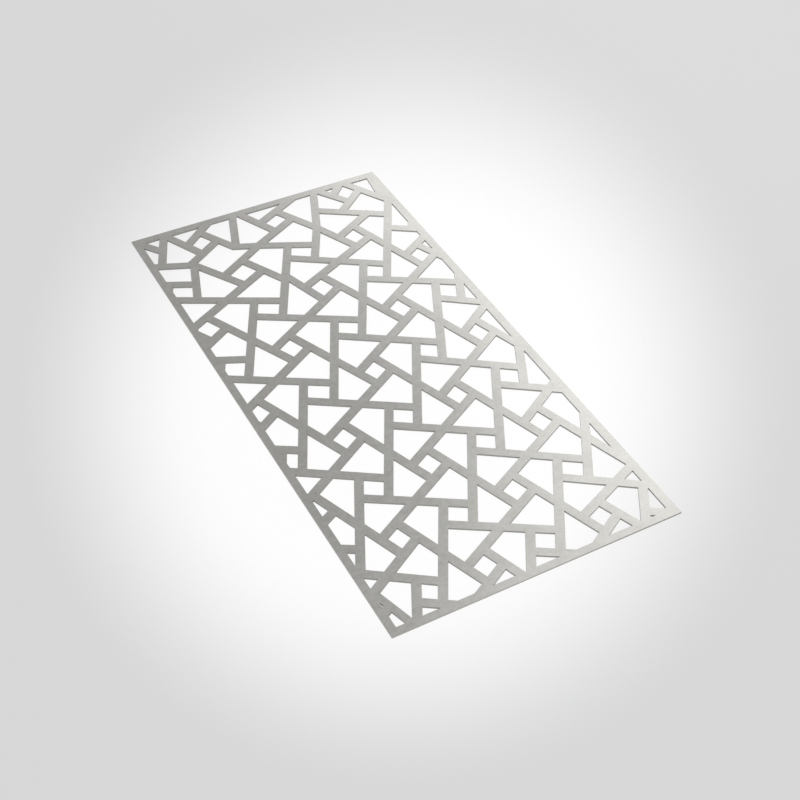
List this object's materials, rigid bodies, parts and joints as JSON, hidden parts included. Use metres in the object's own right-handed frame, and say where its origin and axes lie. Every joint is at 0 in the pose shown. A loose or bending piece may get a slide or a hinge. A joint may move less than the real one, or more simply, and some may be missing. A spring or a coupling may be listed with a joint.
{
  "type": "laser cut metal screen",
  "caption": "Flat rectangular privacy screen: one metal sheet laser cut into an irregular lattice of straight crossing bars inside a plain border.",
  "frame": {"origin": "middle of the sheet's underside, with the sheet lying flat", "axes": "+X to the right edge and +Y to the head, seen from above; +Z out of the brushed face the picture shows"},
  "size_m": [0.9, 1.8, 0.006],
  "materials": {
    "screen_panel": "stainless sheet with a fine one-way brushed grain; the cut edges are matt and darker, as the laser leaves them"
  },
  "bodies": {
    "root": {"screen_panel": "screen_panel"}
  },
  "joints": []
}
